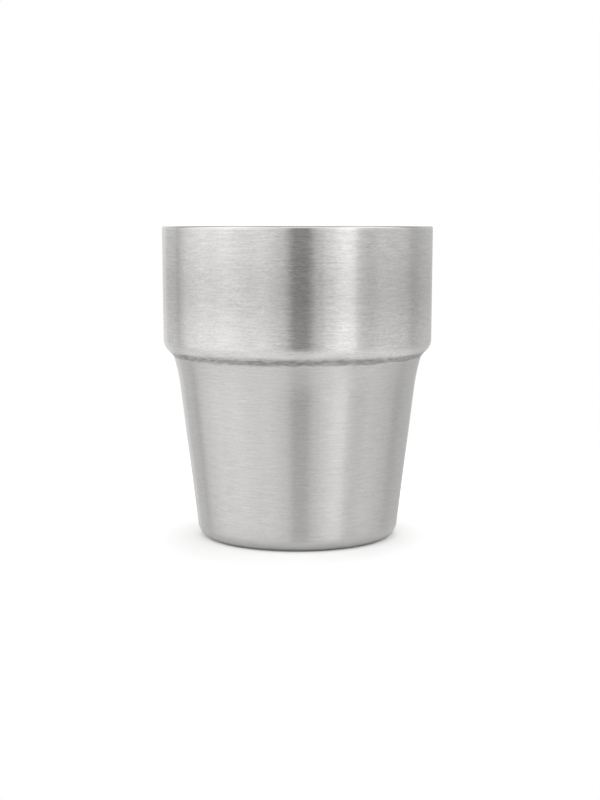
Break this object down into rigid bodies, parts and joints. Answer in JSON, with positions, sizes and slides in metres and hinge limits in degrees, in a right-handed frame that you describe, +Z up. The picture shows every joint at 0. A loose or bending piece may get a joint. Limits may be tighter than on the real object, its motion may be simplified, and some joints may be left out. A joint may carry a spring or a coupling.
{
  "type": "julep cup",
  "caption": "Handle-less stepped drinking cup in brushed stainless steel, with a double vacuum wall, a plain lip and a shoulder that lets it nest in another cup.",
  "frame": {"origin": "centre of the foot ring, on the surface that the cup stands on", "axes": "+Z up along the cup's axis, out of the mouth; the getter lies on +X"},
  "size_m": [0.086, 0.086, 0.099],
  "materials": {
    "brushed_steel": "brushed round the cup",
    "satin_steel": "satin, brushed round the inside",
    "lip_steel": "polished seam",
    "base_steel": "satin, brushed in rings",
    "weld_steel": "bare weld",
    "pressed_steel": "mill finish",
    "copper_foil": "bright foil",
    "solder_glass": "opaque, glossy",
    "getter": "sintered, matt"
  },
  "bodies": {
    "root": {"outer_shell": "brushed_steel", "inner_liner": "satin_steel", "lip_weld": "lip_steel", "foil_wrap": "copper_foil", "vacuum_base": "pressed_steel", "vacuum_base_weld": "weld_steel", "sealing_bead": "solder_glass", "getter_tablet": "getter", "getter_clip": "pressed_steel", "base_cap": "base_steel", "base_cap_weld": "weld_steel"}
  },
  "joints": []
}
